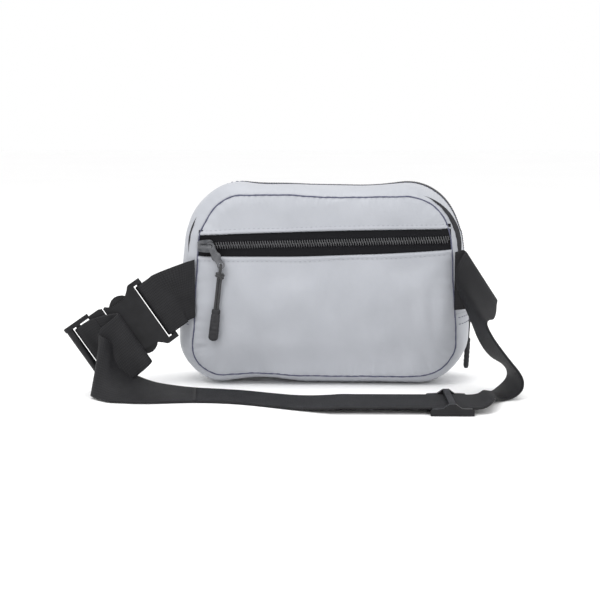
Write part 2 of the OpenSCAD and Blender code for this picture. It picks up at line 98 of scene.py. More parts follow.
area_light("key", (-0.45, -0.7, 0.9), (0, -0.03, 0.06), (0.5, 0.5), 4.2)
area_light("fill", (0.8, -0.75, 0.5), (0, -0.03, 0.06), (0.7, 0.5), 1.6)
area_light("top", (0.05, 0.1, 1.0), (0, 0, 0.05), (0.9, 0.6), 3)
world = bpy.data.worlds.new("studio")
bpy.context.scene.world = world
world.use_nodes = True
world.node_tree.nodes["Background"].inputs["Color"].default_value = (1, 1, 1, 1)
world.node_tree.nodes["Background"].inputs["Strength"].default_value = 1.0
bpy.context.scene.view_settings.view_transform = "Standard"
bpy.context.scene.view_settings.look = "None"


# ---------------------------------------------------------------- shader helpers
class Shader:
    """A Principled material built node by node."""

    def __init__(self, name, **sockets):
        self.mat = bpy.data.materials.new(name)
        self.mat.use_nodes = True
        self.tree = self.mat.node_tree
        self.bsdf = self.tree.nodes["Principled BSDF"]
        for key, value in sockets.items():
            self.bsdf.inputs[key.replace("_", " ")].default_value = value
        self.height = None

    def node(self, kind, **props):
        n = self.tree.nodes.new(kind)
        for key, value in props.items():
            setattr(n, key, value)
        return n

    def link(self, a, b):
        self.tree.links.new(a, b)

    def coords(self, uv=False):
        if uv:
            return self.node("ShaderNodeUVMap", uv_map="cloth").outputs["UV"]
        return self.node("ShaderNodeTexCoord").outputs["Object"]

    def math(self, op, a, b=0.0):
        n = self.node("ShaderNodeMath", operation=op)
        for i, v in enumerate((a, b)):
            if isinstance(v, (int, float)):
                n.inputs[i].default_value = v
            else:
                self.link(v, n.inputs[i])
        return n.outputs[0]

    def noise(self, coord, scale, detail=3.0, rough=0.5):
        n = self.node("ShaderNodeTexNoise")
        n.inputs["Scale"].default_value = scale
        n.inputs["Detail"].default_value = detail
        n.inputs["Roughness"].default_value = rough
        self.link(coord, n.inputs["Vector"])
        return n.outputs["Fac"]

    def ramp(self, fac, stops):
        n = self.node("ShaderNodeValToRGB")
        r = n.color_ramp
        while len(r.elements) < len(stops):
            r.elements.new(0.5)
        for e, (pos, col) in zip(r.elements, stops):
            e.position = pos
            e.color = (*col, 1) if len(col) == 3 else col
        self.link(fac, n.inputs["Fac"])
        return n.outputs["Color"]

    def weave(self, coord, pitch_u, pitch_v, axes="XY"):
        """over-and-under threads: 0 in the gaps to 1 on top of a thread"""
        sep = self.node("ShaderNodeSeparateXYZ")
        self.link(coord, sep.inputs[0])
        a = self.math("SINE", self.math("MULTIPLY", sep.outputs[axes[0]], math.pi / pitch_u))
        b = self.math("SINE", self.math("MULTIPLY", sep.outputs[axes[1]], math.pi / pitch_v))
        over = self.math("GREATER_THAN", self.math("MULTIPLY", a, b), 0.0)
        under = self.math("SUBTRACT", 1.0, over)
        return self.math("ADD", self.math("MULTIPLY", over, self.math("ABSOLUTE", a)),
                         self.math("MULTIPLY", under, self.math("ABSOLUTE", b)))

    def add_height(self, h, amount):
        h = self.math("MULTIPLY", h, amount)
        self.height = h if self.height is None else self.math("ADD", self.height, h)

    def done(self, strength=1.0):
        if self.height is not None:
            bump = self.node("ShaderNodeBump")
            bump.inputs["Strength"].default_value = strength
            bump.inputs["Distance"].default_value = 1.0
            self.link(self.height, bump.inputs["Height"])
            self.link(bump.outputs["Normal"], self.bsdf.inputs["Normal"])
        return self.mat


def shell_material():
    s = Shader("grey_nylon", Roughness=0.5, Sheen_Weight=0.08, Sheen_Roughness=0.4, Specular_IOR_Level=0.45)
    co = s.coords()
    col = s.ramp(s.noise(co, 28, 4), [(0.3, (0.362, 0.375, 0.408)), (0.72, (0.412, 0.425, 0.460))])
    s.link(col, s.bsdf.inputs["Base Color"])
    s.link(s.ramp(s.noise(co, 60, 3), [(0.3, (0.42,) * 3), (0.7, (0.56,) * 3)]), s.bsdf.inputs["Roughness"])
    s.add_height(s.weave(co, 0.00042, 0.00042, "XZ"), 0.00003)
    s.add_height(s.noise(co, 210, 3, 0.6), 0.00025)
    s.add_height(s.noise(co, 70, 2), 0.0006)
    return s.done(0.5)


def webbing_material():
    s = Shader("black_webbing", Roughness=0.62, Specular_IOR_Level=0.22)
    uv = s.coords(True)
    ribs = s.weave(uv, 0.0011, 0.0016)
    tint = s.noise(s.coords(), 90, 4)
    # colour: darker in the gaps between the threads and lighter on their tops, which is painted shade in the
    # weave, mixed with a random tone from the noise
    col = s.ramp(s.math("ADD", s.math("MULTIPLY", ribs, 0.5), s.math("MULTIPLY", tint, 0.5)),
                 [(0.25, (0.005, 0.005, 0.006)), (0.8, (0.018, 0.018, 0.020))])
    s.link(col, s.bsdf.inputs["Base Color"])
    s.add_height(ribs, 0.00012)
    s.add_height(s.noise(uv, 900, 2), 0.00004)
    return s.done(0.55)


def tape_material(name="zip_tape"):
    s = Shader(name, Roughness=0.8, Specular_IOR_Level=0.12)
    uv = s.coords(True)
    w = s.weave(uv, 0.0006, 0.0009)
    # colour: darker in the gaps between the threads and lighter on their tops, which is painted shade in the weave
    col = s.ramp(w, [(0.1, (0.004, 0.004, 0.005)), (1.0, (0.012, 0.012, 0.014))])
    s.link(col, s.bsdf.inputs["Base Color"])
    s.add_height(w, 0.00008)
    return s.done(0.6)


def thread_material(name, dark, light):
    s = Shader(name, Roughness=0.5, Sheen_Weight=0.2)
    co = s.coords()
    s.link(s.ramp(s.noise(co, 900, 2), [(0.3, dark), (0.7, light)]), s.bsdf.inputs["Base Color"])
    s.add_height(s.noise(co, 2500, 1), 0.00005)
    return s.done(0.5)


def coil_material():
    s = Shader("coil_nylon", Roughness=0.25, Specular_IOR_Level=0.75)
    co = s.coords()
    # the coil's base colour is painted lighter than the black tape: a painted highlight standing in for the glints
    # on the teeth, with a random tone from the noise
    s.link(s.ramp(s.noise(co, 300, 2), [(0.3, (0.03, 0.03, 0.033)), (0.7, (0.06, 0.06, 0.065))]),
           s.bsdf.inputs["Base Color"])
    s.add_height(s.noise(co, 1500, 2), 0.00002)
    return s.done(0.4)


def metal_material():
    s = Shader("dark_nickel", Metallic=1.0, Roughness=0.3)
    co = s.coords()
    s.link(s.ramp(s.noise(co, 240, 4), [(0.3, (0.075, 0.078, 0.085)), (0.7, (0.16, 0.163, 0.172))]),
           s.bsdf.inputs["Base Color"])
    s.link(s.ramp(s.noise(co, 700, 3), [(0.3, (0.24,) * 3), (0.75, (0.46,) * 3)]), s.bsdf.inputs["Roughness"])
    s.add_height(s.noise(co, 900, 3), 0.00003)
    return s.done(0.5)


def plastic_material():
    s = Shader("buckle_acetal", Roughness=0.36, Specular_IOR_Level=0.26)
    co = s.coords()
    s.link(s.ramp(s.noise(co, 120, 3), [(0.3, (0.006, 0.006, 0.007)), (0.7, (0.012, 0.012, 0.014))]),
           s.bsdf.inputs["Base Color"])
    s.link(s.ramp(s.noise(co, 160, 3), [(0.3, (0.3,) * 3), (0.7, (0.44,) * 3)]), s.bsdf.inputs["Roughness"])
    s.add_height(s.noise(co, 2600, 2), 0.00003)
    return s.done(0.5)


def rubber_material():
    s = Shader("grip_rubber", Roughness=0.6, Specular_IOR_Level=0.35)
    co = s.coords()
    s.link(s.ramp(s.noise(co, 400, 3), [(0.3, (0.016, 0.016, 0.018)), (0.7, (0.03, 0.03, 0.033))]),
           s.bsdf.inputs["Base Color"])
    s.add_height(s.noise(co, 1800, 2), 0.00006)
    return s.done(0.5)


def lining_material():
    s = Shader("lining_cloth", Roughness=0.8)
    co = s.coords()
    w = s.weave(co, 0.0005, 0.0005, "XZ")
    # colour: darker in the gaps between the threads and lighter on their tops, which is painted shade in the weave
    s.link(s.ramp(w, [(0, (0.012, 0.012, 0.014)), (1, (0.03, 0.03, 0.034))]), s.bsdf.inputs["Base Color"])
    s.add_height(w, 0.00006)
    return s.done(0.5)


def floor_material():
    s = Shader("floor_paper", Roughness=0.85, Specular_IOR_Level=0.15)
    co = s.coords()
    s.link(s.ramp(s.noise(co, 3, 2), [(0.3, (0.985,) * 3), (0.7, (0.995,) * 3)]), s.bsdf.inputs["Base Color"])
    return s.done()


SHELL, WEB, TAPE, COIL = shell_material(), webbing_material(), tape_material(), coil_material()
METAL, PLASTIC, RUBBER, LINING = metal_material(), plastic_material(), rubber_material(), lining_material()
CORD = thread_material("cord_braid", (0.010, 0.010, 0.011), (0.03, 0.03, 0.033))
SEAM = thread_material("seam_thread", (0.035, 0.037, 0.075), (0.085, 0.09, 0.15))
PALE = thread_material("pale_thread", (0.24, 0.25, 0.28), (0.33, 0.34, 0.37))
BLACK = thread_material("black_thread", (0.010, 0.010, 0.012), (0.03, 0.03, 0.034))


# ---------------------------------------------------------------- mesh helpers (all in mm)
def make(name, verts, faces, mat, body, uv=None, replaces=()):
    me = bpy.data.meshes.new(name)
    me.from_pydata((np.asarray(verts, float) * MM).tolist(), [], [tuple(int(i) for i in f) for f in faces])
    me.validate()
    me.polygons.foreach_set("use_smooth", [True] * len(me.polygons))
    if uv is not None:
        layer = me.uv_layers.new(name="cloth")
        idx = np.zeros(len(me.loops), int)
        me.loops.foreach_get("vertex_index", idx)
        layer.data.foreach_set("uv", (np.asarray(uv, float)[idx] * MM).ravel())
    me.materials.append(mat)
    ob = bpy.data.objects.new(name, me)
    bpy.context.scene.collection.objects.link(ob)
    if body:
        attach(ob, body)
    if replaces:
        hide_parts(*replaces)
    return ob


def grid_faces(n, m, wrap_n=False, wrap_m=False, base=0):
    out = []
    for i in range(n if wrap_n else n - 1):
        for j in range(m if wrap_m else m - 1):
            a, b = i * m + j, i * m + (j + 1) % m
            c, d = ((i + 1) % n) * m + (j + 1) % m, ((i + 1) % n) * m + j
            out.append((base + a, base + b, base + c, base + d))
    return out


def smoothstep(x):
    x = np.clip(x, 0, 1)
    return x * x * (3 - 2 * x)


def waves(p, scale, seed, n=18):
    """smooth random field of about unit strength, wavelength about scale"""
    rng = np.random.default_rng(seed)
    k = rng.normal(size=(n, p.shape[1]))
    k /= np.linalg.norm(k, axis=1)[:, None]
    k *= (2 * np.pi / scale * rng.uniform(0.55, 1.35, n))[:, None]
    return np.sin(p @ k.T + rng.uniform(0, 2 * np.pi, n)).sum(1) * math.sqrt(2 / n)


def unit(v):
    return v / np.maximum(np.linalg.norm(v, axis=-1, keepdims=True), 1e-9)


def tube(path, radius, sides=8, closed=False, flat=1.0, up=(0, 1, 0)):
    """verts and faces of a tube along a path, radius a number or one per point"""
    p = np.asarray(path, float)
    n = len(p)
    t = np.roll(p, -1, 0) - np.roll(p, 1, 0)
    if not closed:
        t[0], t[-1] = p[1] - p[0], p[-1] - p[-2]
    t = unit(t)
    r = np.broadcast_to(np.asarray(radius, float), (n,))
    frames = []
    ref = np.array(up, float)
    for i in range(n):
        ref = ref - t[i] * (ref @ t[i])
        if np.linalg.norm(ref) < 1e-6:
            ref = np.cross(t[i], (1.0, 0.3, 0.2))
        ref = ref / np.linalg.norm(ref)
        frames.append((ref.copy(), np.cross(t[i], ref)))
    a = np.arange(sides) * 2 * np.pi / sides
    verts = [p[i] + r[i] * (np.cos(x) * frames[i][0] * flat + np.sin(x) * frames[i][1])
             for i in range(n) for x in a]
    faces = grid_faces(n, sides, closed, True)
    if not closed:
        faces += [tuple(range(sides))[::-1], tuple((n - 1) * sides + j for j in range(sides))]
    return np.array(verts), faces


def join(parts):
    verts, faces, base = [], [], 0
    for v, f in parts:
        verts.append(v)
        faces += [tuple(i + base for i in q) for q in f]
        base += len(v)
    return np.concatenate(verts), faces


def resample(path, step):
    p = np.asarray(path, float)
    d = np.concatenate([[0], np.cumsum(np.linalg.norm(np.diff(p, axis=0), axis=1))])
    n = max(2, int(round(d[-1] / step)) + 1)
    q = np.linspace(0, d[-1], n)
    return np.stack([np.interp(q, d, p[:, i]) for i in range(3)], 1), d[-1]


def stitches(name, path, mat, body, length=2.3, gap=1.1, r=0.26, sink=0.05, normal=None):
    """a row of sewn stitches: short threads that dive in at both ends"""
    per = 6
    p = resample(path, (length + gap) / per)[0]
    parts = []
    seg = int(round(per * length / (length + gap)))
    for i in range(0, len(p) - seg, per):
        q = p[i:i + seg + 1].copy()
        if normal is not None:
            nn = normal[min(len(normal) - 1, int(i / max(1, len(p) - 1) * (len(normal) - 1)))]
            lift = np.sin(np.linspace(0, np.pi, len(q)))[:, None] * nn * (r + 0.15) - nn * sink
            q = q + lift
        w = r * np.sqrt(np.clip(1 - np.linspace(-0.93, 0.93, len(q)) ** 2, 0.1, 1))
        parts.append(tube(q, w, 6))
    v, f = join(parts)
    return make(name, v, f, mat, body)


# ---------------------------------------------------------------- bag shell
pl, ph = lo_hi("near_piping")
fl, fh = lo_hi("far_piping")
ch = lo_hi("lower_gusset")[1]
SEAM_Y = pl[1] + 0.8
FAR_Y = fh[1] - 0.8
FACE_Y = lo_hi("bag_panel_lower")[0][1]
ZIP_Z = (lo_hi("pocket_coil")[0][2] + lo_hi("pocket_coil")[1][2]) / 2
TILT = math.radians(1.5)
JOIN_Z = ch[2]
SEGMENTS = (42, 34, 96, 34, 42, 30, 96, 30)
N_OUT = sum(SEGMENTS)
# about the distance between two points of the outline, along which puckers and cloth are measured
SPACING = 1.45
# how far the side wall stands out at the middle of each of the eight stretches: left, top left, top, ...
BULGE = (11.2, 9.5, 6.6, 8.6, 10.9, 8.2, 6.4, 7.0)


# how far the fullest line of the side wall lies forward of its middle, for the same stretches
FORWARD = (0.3, 0.3, 0.1, -0.36, -0.1, 0.1, 0.1, 0.25)


def outline(half, z0, z1, r_tl, r_tr, r_br, r_bl):
    """points and outward normals of a rounded outline in x and z, starting low on the left and going up"""
    pts, nor = [], []
    xl, xr = -half, half

    def line(a, b, n, w):
        for i in range(n):
            t = i / n
            pts.append((a[0] + (b[0] - a[0]) * t, a[1] + (b[1] - a[1]) * t))
            nor.append(w)

    def arc(c, r, a0, n):
        for i in range(n):
            a = math.radians(a0 - 90 * i / n)
            pts.append((c[0] + r * math.cos(a), c[1] + r * math.sin(a)))
            nor.append((math.cos(a), math.sin(a)))

    s = SEGMENTS
    line((xl, z0 + r_bl), (xl, z1 - r_tl), s[0], (-1, 0))
    arc((xl + r_tl, z1 - r_tl), r_tl, 180, s[1])
    line((xl + r_tl, z1), (xr - r_tr, z1), s[2], (0, 1))
    arc((xr - r_tr, z1 - r_tr), r_tr, 90, s[3])
    line((xr, z1 - r_tr), (xr, z0 + r_br), s[4], (1, 0))
    arc((xr - r_br, z0 + r_br), r_br, 0, s[5])
    line((xr - r_br, z0), (xl + r_bl, z0), s[6], (0, -1))
    arc((xl + r_bl, z0 + r_bl), r_bl, -90, s[7])
    return np.array(pts), np.array(nor)


def ring_smooth(a, width):
    k = np.exp(-0.5 * (np.arange(-3 * width, 3 * width + 1) / width) ** 2)
    k /= k.sum()
    pad = 3 * width
    return np.convolve(np.concatenate([a[-pad:], a, a[:pad]]), k, "same")[pad:-pad]


HALF = ph[0] - 3.3
NEAR, NRM = outline(HALF, pl[2] - 1.2, ph[2] + 0.9, 31, 31, 25, 22)
FAR, _ = outline(HALF + 1, fl[2] - 0.6, fh[2] + 0.3, 31, 31, 25, 25)
OUTW = ring_smooth(np.repeat(BULGE, SEGMENTS), 9)
LEAN = ring_smooth(np.repeat(FORWARD, SEGMENTS), 9)


def widen(z):
    """the body is a little wider low down than at the top"""
    return 1 + 0.03 * np.clip((62 - z) / 40, -1.1, 1.0)


def sag(p):
    """the cloth body's overall shape: wider low down, soft dents, never under the floor"""
    q = p.copy()
    x, z = p[:, 0], p[:, 2]
    q[:, 0] = x * widen(z)
    q[:, 2] += -1.2 * smoothstep((z - 100) / 30) * np.exp(-((x - 14) / 26) ** 2)
    low = smoothstep((40 - z) / 40)
    q[:, 2] += low * 2.2 * np.exp(-((x + 42) / 22) ** 2)
    q[:, 2] += low * (x > 40) * 0.04 * np.clip(x - 40, 0, 60)
    wob = np.stack([waves(p, 46, 3), waves(p, 52, 4), waves(p, 40, 5)], 1)
    q += wob * np.array([0.35, 0.3, 0.4]) * hush(p)[:, None]
    q[:, 2] = np.where(q[:, 2] < 0.6, 0.15 + 0.45 * np.exp((q[:, 2] - 0.6) / 0.45), q[:, 2])
    return q


def hush(p):
    """0 along both zips, where hard sliders run, and 1 away from them"""
    band = np.abs(p[:, 2] - ZIP_Z - p[:, 0] * math.tan(TILT))
    near = smoothstep((band - 6) / 12)
    near = np.where(p[:, 1] < SEAM_Y + 4, near, 1)
    side = smoothstep(np.hypot((p[:, 0] - ch[0]) / 1.0, (p[:, 1] - 8) / 1.0) / 26)
    side = np.where((p[:, 2] > 40) & (p[:, 2] < 100), side, 1)
    return near * side


def gusset(i, v):
    """side wall surface: i along the outline, v the depth from SEAM_Y to FAR_Y"""
    i = np.asarray(i)
    v = np.asarray(v, float)
    t = (v - SEAM_Y) / (FAR_Y - SEAM_Y)
    base = NEAR[i] * (1 - t)[:, None] + FAR[i] * t[:, None]
    c = 2 * t - 1
    prof = (1 - np.abs(c + LEAN[i] * (1 - c * c)) ** 2.6) ** 0.8
    edge_mm = np.minimum(v - SEAM_Y, FAR_Y - v)
    s = i * SPACING
    pucker = 0.42 * np.exp(-edge_mm / 4.5) * np.sin(s * 0.95 + 2.2 * np.sin(s * 0.13) + np.where(c < 0, 0, 1.7))
    pucker *= smoothstep(edge_mm / 1.2)
    out = OUTW[i] * prof + pucker
    xz = base + NRM[i] * out[:, None]
    return sag(np.stack([xz[:, 0], v, xz[:, 1]], 1))


def gusset_strip(name, idx, vs, mat, replaces, wrap=False, sink=0.0):
    ii, vv = np.meshgrid(idx, vs, indexing="ij")
    p = gusset(ii.ravel(), vv.ravel())
    if sink:
        side = np.stack([NRM[ii.ravel()][:, 0], np.zeros(ii.size), NRM[ii.ravel()][:, 1]], 1)
        p = p - side * sink
    faces = [f[::-1] for f in grid_faces(len(idx), len(vs), wrap)]
    along = np.repeat(np.arange(len(idx)) * SPACING, len(vs))
    uv = np.stack([along, vv.ravel()], 1)
    ob = make(name, p, faces, mat, "bag", uv=uv, replaces=replaces)
    return ob


def thicken(ob, t, offset=-1.0):
    m = ob.modifiers.new("cloth_thickness", "SOLIDIFY")
    m.thickness = t * MM
    m.offset = offset
    m.use_rim = True
    return ob


upper = [i for i in range(N_OUT) if NEAR[i][1] >= JOIN_Z]
first = next(i for i in range(N_OUT) if NEAR[i][1] >= JOIN_Z)
last = max(upper)
UP = np.arange(first, last + 1)
LOW = np.array([i % N_OUT for i in range(last, N_OUT + first + 1)])
mt_n, mt_f = lo_hi("main_tape_near"), lo_hi("main_tape_far")
ZIP_Y = (mt_n[0][1] + mt_f[1][1]) / 2
HALF_VIS = 5.0
near_vs = np.concatenate([np.linspace(SEAM_Y, SEAM_Y + 6, 9), np.linspace(SEAM_Y + 7.5, ZIP_Y - HALF_VIS, 12)])
far_vs = np.concatenate([np.linspace(ZIP_Y + HALF_VIS, FAR_Y - 6, 6), np.linspace(FAR_Y - 5, FAR_Y, 8)])
all_vs = np.concatenate([np.linspace(SEAM_Y, SEAM_Y + 6, 9), np.linspace(SEAM_Y + 8, FAR_Y - 8, 16),
                         np.linspace(FAR_Y - 6, FAR_Y, 9)])


g1 = thicken(gusset_strip("side_wall_near", UP, near_vs, SHELL, ["near_gusset"]), 1.0)
g2 = thicken(gusset_strip("side_wall_far", UP, far_vs, SHELL, ["far_gusset"]), 1.0)
g3 = thicken(gusset_strip("side_wall_low", LOW, all_vs, SHELL, ["lower_gusset"]), 1.0)


# ---- panels: rings of points close to their edge, a plain grid inside, triangulated
OFFSETS = (0.45, 1.0, 1.7, 2.5, 3.4, 4.6, 6.1, 8.0)


def fill(edge, grid=2.2):
    """edge: closed loop (n, 2), anticlockwise or clockwise. returns (points, triangles) facing -y"""
    area = np.sum(edge[:, 0] * np.roll(edge[:, 1], -1) - np.roll(edge[:, 0], -1) * edge[:, 1])
    t = unit(np.roll(edge, -1, 0) - np.roll(edge, 1, 0))
    inward = np.stack([-t[:, 1], t[:, 0]], 1) * np.sign(area)
    pts = [edge]
    for off in OFFSETS:
        q = edge + inward * off
        d, _ = nearest(q, edge)
        pts.append(q[d > off * 0.97 - 0.02])
    gx, gz = np.meshgrid(np.arange(-100, 100, grid), np.arange(0, 135, grid), indexing="ij")
    g = np.stack([(gx + (np.round(gz / grid) % 2) * grid / 2).ravel(), gz.ravel()], 1)
    d, _ = nearest(g, edge)
    pts.append(g[d > OFFSETS[-1] + 1.1])
    pts = np.concatenate(pts)
    out = delaunay_2d_cdt([Vector(q) for q in pts], [], [list(range(len(edge)))], 1, 1e-5)
    xy = np.array([tuple(v) for v in out[0]])
    tris = []
    for f in out[2]:
        a, b, c = (xy[i] for i in f[:3])
        turn = (b[0] - a[0]) * (c[1] - a[1]) - (b[1] - a[1]) * (c[0] - a[0])
        tris.append(tuple(f) if turn > 0 else tuple(f)[::-1])
    return xy, tris


def nearest(p, line):
    """distance and index of the nearest point of a polyline's samples"""
    d = np.empty(len(p))
    k = np.empty(len(p), int)
    for a in range(0, len(p), 4000):
        m = np.linalg.norm(p[a:a + 4000, None, :] - line[None], axis=2)
        k[a:a + 4000] = m.argmin(1)
        d[a:a + 4000] = m.min(1)
    return d, k


def band_edge(side, n=120):
    """edge of the pocket opening, left to right; the lower one sags a little in the middle"""
    z_at = ZIP_Z + side * 7.4
    x = np.linspace(-1, 1, n) * (HALF - 0.6)
    z = z_at + x * math.tan(TILT)
    if side < 0:
        z = z + 0.9 - 1.9 * (1 - (x / HALF) ** 2)
    else:
        z = z - 0.6 + 0.8 * (1 - (x / HALF) ** 2)
    return np.stack([x, z], 1)


def split_outline(top):
    """near outline above or below the pocket opening, joined to that opening's edge, as a closed loop"""
    e = band_edge(1 if top else -1)
    zl, zr = e[0, 1], e[-1, 1]
    if top:
        keep = [i for i in range(N_OUT) if (NEAR[i][1] > (zl if NEAR[i][0] < 0 else zr) + 0.4)]
        loop = [NEAR[i] for i in keep]
        loop = [np.array([-HALF, zl])] + loop + [np.array([HALF, zr])]
        return np.array(loop + [q for q in e[::-1]]), len(loop)
    start = next(i for i in range(sum(SEGMENTS[:3]), N_OUT) if NEAR[i][0] > 0 and NEAR[i][1] < zr - 0.4)
    idx = [i % N_OUT for i in range(start, start + N_OUT)]
    loop = []
    for i in idx:
        if NEAR[i][0] < 0 and NEAR[i][1] > zl - 0.4:
            break
        loop.append(NEAR[i])
    loop = [np.array([HALF, zr])] + loop + [np.array([-HALF, zl])]
    return np.array(loop + [q for q in e]), len(loop)


def face_y(xz, sign, belly, seams, band=None):
    """depth of a panel's outer face at (x, z), in mm, sign -1 near, +1 far"""
    d, k = nearest(xz, seams)
    seam = SEAM_Y if sign < 0 else FAR_Y
    rise = abs(FACE_Y - SEAM_Y)
    crown = rise * (1 - np.exp(-d / 4.2))
    cx, cz, wx, wz, h = belly
    puff = h * np.exp(-(np.abs((xz[:, 0] - cx) / wx) ** 3) - (np.abs((xz[:, 1] - cz) / wz) ** 2.4))
    puff *= smoothstep(d / 26)
    s = k * SPACING
    pucker = 0.34 * np.exp(-d / 5.0) * np.sin(s * 1.02 + 2.6 * np.sin(s * 0.11)) * smoothstep(d / 0.8)
    pucker += 0.3 * np.exp(-d / 13.0) * waves(np.stack([s, s * 0], 1), 17, 11) * smoothstep(d / 3)
    p3 = np.stack([xz[:, 0], xz[:, 1]], 1)
    soft = 0.42 * waves(p3, 34, 21) + 0.22 * waves(p3 * np.array([1, 0.45]), 15, 22)
    soft *= smoothstep(d / 12)
    fold = 0
    if band is not None:
        db, _ = nearest(xz, band)
        soft = soft * smoothstep((db - 2) / 14)
        puff = puff * smoothstep((db - 1) / 22)
        fold = 0.55 * np.exp(-((db - 1.3) / 1.5) ** 2) - 0.28 * np.exp(-((db - 3.0) / 0.55) ** 2)
        fold = fold - 1.15 * np.exp(-db / 0.35)
    return seam + sign * (crown + puff + pucker + soft + fold)


def near_piece(name, top, node, belly):
    loop, _ = split_outline(top)
    pts, faces = fill(loop)
    y = face_y(pts, -1, belly, NEAR, band_edge(1 if top else -1, 400))
    p = sag(np.stack([pts[:, 0], y, pts[:, 1]], 1))
    return thicken(make(name, p, faces, SHELL, "bag", replaces=[node]), 1.0)


LOW_BELLY, TOP_BELLY, FAR_BELLY = (4, 46, 70, 36, 3.4), (0, 112, 60, 14, 1.0), (0, 64, 74, 46, 3.6)
lower_panel = near_piece("pocket_panel_low", False, "bag_panel_lower", LOW_BELLY)
upper_panel = near_piece("pocket_panel_top", True, "bag_panel_upper", TOP_BELLY)


def far_piece():
    pts, faces = fill(FAR)
    y = face_y(pts, 1, FAR_BELLY, FAR)
    p = sag(np.stack([pts[:, 0], y, pts[:, 1]], 1))
    return thicken(make("front_panel", p, [f[::-1] for f in faces], SHELL, "bag",
                        replaces=["far_panel"]), 1.0)


far_panel = far_piece()


# ---- seams in the ditch between panel and side wall
def seam_line(name, loop, y, node, sign):
    n = len(loop)
    s = np.arange(n) * SPACING
    p = np.stack([loop[:, 0], np.full(n, y), loop[:, 1]], 1)
    p = sag(p)
    out = np.stack([NRM[:, 0], np.zeros(n), NRM[:, 1]], 1)
    p = p + out * (0.12 * np.sin(s * 0.31 + 1.3 * np.sin(s * 0.07)))[:, None]
    p[:, 1] += sign * 0.05
    r = 0.5 + 0.06 * np.sin(s * 0.9 + np.sin(s * 0.21))
    v, f = tube(p, r, 8, True)
    return make(name, v, f, SEAM, "bag", replaces=[node])


seam_line("seam_near", NEAR, SEAM_Y, "near_piping", -1)
seam_line("seam_far", FAR, FAR_Y, "far_piping", 1)


# ---- pocket zip: tape, teeth, stitching
TAPE_Y = lo_hi("pocket_tape_lower")[0][1]


def end_fall(x):
    """the tape turns back with the panel near the seams"""
    return 1.9 * smoothstep((np.abs(x) - 78.5) / 6)


def pocket_tape(name, side, node):
    x = np.linspace(-HALF - 0.2, HALF + 0.2, 150)
    w = np.array([0.3, 1.2, 2.4, 3.8, 5.4, 7.2, 9.0, 10.2])
    xx, ww = np.meshgrid(x, w, indexing="ij")
    xx, ww = xx.ravel(), ww.ravel()
    z = ZIP_Z + side * ww + xx * math.tan(TILT)
    y = TAPE_Y + 0.1 + end_fall(xx) + 0.12 * np.sin(xx * 0.09 + side) * smoothstep((ww - 2) / 5)
    y = y - 0.25 * np.exp(-((ww - 2.6) / 0.8) ** 2)
    p = np.stack([xx * widen(z), y, z], 1)
    f = grid_faces(len(x), len(w))
    if side > 0:
        f = [q[::-1] for q in f]
    return thicken(make(name, p, f, TAPE, "bag", uv=np.stack([xx, ww], 1), replaces=[node]), 0.6, -1.0)


pocket_tape("zip_tape_low", -1, "pocket_tape_lower")
pocket_tape("zip_tape_top", 1, "pocket_tape_upper")


def coil_along(path, out, across, pitch=1.6, half=2.1, thick=1.0, wire=0.44, offset=0.9):
    """two interlocked rows of coil: path (n, 3), out and across unit vectors per point"""
    p = np.asarray(path, float)
    d = np.concatenate([[0], np.cumsum(np.linalg.norm(np.diff(p, axis=0), axis=1))])
    turns = int(d[-1] / pitch)
    per = 12
    parts = []
    for row in (-1, 1):
        t = np.arange(turns * per + 1) / per
        a = t * 2 * np.pi
        s = np.clip((t + (0.5 if row > 0 else 0)) * pitch, 0, d[-1])
        c = np.stack([np.interp(s, d, p[:, i]) for i in range(3)], 1)
        o = unit(np.stack([np.interp(s, d, out[:, i]) for i in range(3)], 1))
        w = unit(np.stack([np.interp(s, d, across[:, i]) for i in range(3)], 1))
        u = row * offset + half * 0.62 * np.sign(np.cos(a)) * np.abs(np.cos(a)) ** 0.8
        h = thick * np.sign(np.sin(a)) * np.abs(np.sin(a)) ** 0.8
        q = c + w * u[:, None] + o * h[:, None]
        parts.append(tube(q, wire, 5, up=(0.3, 0.5, 0.8)))
    return join(parts)


def pocket_coil():
    x = np.linspace(-HALF + 1.5, HALF - 1.5, 120)
    z = ZIP_Z + x * math.tan(TILT)
    p = np.stack([x * widen(z), TAPE_Y - 0.25 + end_fall(x), z], 1)
    out = np.tile([0.0, -1, 0], (len(x), 1))
    across = np.tile([0.0, 0, 1], (len(x), 1))
    v, f = coil_along(p, out, across)
    make("zip_teeth", v, f, COIL, "bag", replaces=["pocket_coil"])
    core = p.copy()
    core[:, 1] += 0.15
    v, f = tube(core, 0.6, 8)
    make("zip_teeth_cord", v, f, BLACK, "bag")


pocket_coil()


def band_row(side, off, name, mat):
    e = band_edge(side, 200)[4:-4]
    q = np.stack([e[:, 0], e[:, 1] + side * off], 1)
    y = face_y(q, -1, LOW_BELLY if side < 0 else TOP_BELLY, NEAR, band_edge(side, 400))
    p = sag(np.stack([q[:, 0], y, q[:, 1]], 1))
    nrm = np.tile([0.0, -1, 0], (len(p), 1))
    stitches(name, p, mat, "bag", 2.2, 0.9, 0.2, 0.12, nrm)


band_row(-1, 3.0, "topstitch_low", PALE)
band_row(1, 3.0, "topstitch_high", PALE)


